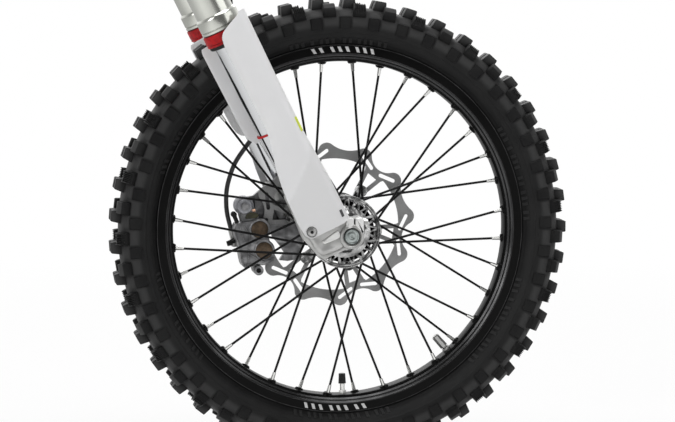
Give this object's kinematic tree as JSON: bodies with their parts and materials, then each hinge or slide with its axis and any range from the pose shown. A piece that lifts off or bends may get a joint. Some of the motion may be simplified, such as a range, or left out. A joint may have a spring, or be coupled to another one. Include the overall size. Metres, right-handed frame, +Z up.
{
  "type": "motocross front fork with wheel",
  "caption": "Upside-down motocross fork on its lower clamp and stem, with guards, disc brake and laced wheel with a knobbly tyre.",
  "frame": {"origin": "On the steering stem's axis at the lower bearing seat, 30 mm above the lower clamp.", "axes": "+X forward, +Y to the left side, +Z up; the stem leans back 26.5 degrees."},
  "size_m": [0.8082, 0.2992, 1.1664],
  "materials": {
    "tyre": "moulded rubber, satin",
    "rim_black": "black anodised, satin",
    "nipple_silver": "bright",
    "spoke_black": "black satin",
    "hub_silver": "machined",
    "disc_steel": "brushed",
    "bolt_steel": "plated",
    "valve_brass": "plated",
    "black_plastic": "matt",
    "axle_steel": "machined",
    "cast_aluminium": "cast, blasted",
    "stanchion_chrome": "ground and plated",
    "tube_silver": "anodised, satin",
    "wiper_red": "moulded, gloss",
    "black_rubber": "matt",
    "ring_red": "satin",
    "guard_white": "moulded, satin",
    "caliper_grey": "cast, grey finish",
    "clamp_black": "cast, coated black",
    "plug_bronze": "anodised",
    "pad_black": "sintered",
    "hose_black": "satin"
  },
  "bodies": {
    "fork": {"axle": "axle_steel", "axle_nut": "bolt_steel", "banjo_fitting": "bolt_steel", "brake_hose": "hose_black", "brake_pads": "pad_black", "caliper_body": "caliper_grey", "caliper_bracket": "caliper_grey", "caliper_pins": "bolt_steel", "caliper_plugs": "plug_bronze", "cap_left": "tube_silver", "cap_right": "tube_silver", "clamp_bolts": "bolt_steel", "foot_left": "cast_aluminium", "foot_right": "cast_aluminium", "guard_bolts": "bolt_steel", "guard_left": "guard_white", "guard_right": "guard_white", "hose_guide": "black_plastic", "hose_sleeve": "hose_black", "lip_left": "black_rubber", "lip_right": "black_rubber", "lower_clamp": "clamp_black", "outer_tube_left": "tube_silver", "outer_tube_right": "tube_silver", "rubber_caps": "black_rubber", "spacer_left": "hub_silver", "spacer_right": "hub_silver", "stanchion_left": "stanchion_chrome", "stanchion_right": "stanchion_chrome", "steering_stem": "axle_steel", "travel_ring": "ring_red", "wiper_left": "wiper_red", "wiper_right": "wiper_red"},
    "wheel": {"brake_disc": "disc_steel", "disc_bolts": "bolt_steel", "hub": "hub_silver", "hub_seals": "black_rubber", "nipples": "nipple_silver", "rim": "rim_black", "rim_lock": "bolt_steel", "spokes_left": "spoke_black", "spokes_right": "spoke_black", "tyre": "tyre", "valve": "valve_brass", "valve_cap": "black_plastic"}
  },
  "joints": [
    {"name": "wheel_spin", "type": "hinge", "parent": "fork", "child": "wheel", "pos_m": [0.35709, 0, -0.5952], "axis": [0, 1, 0], "continuous": true}
  ]
}
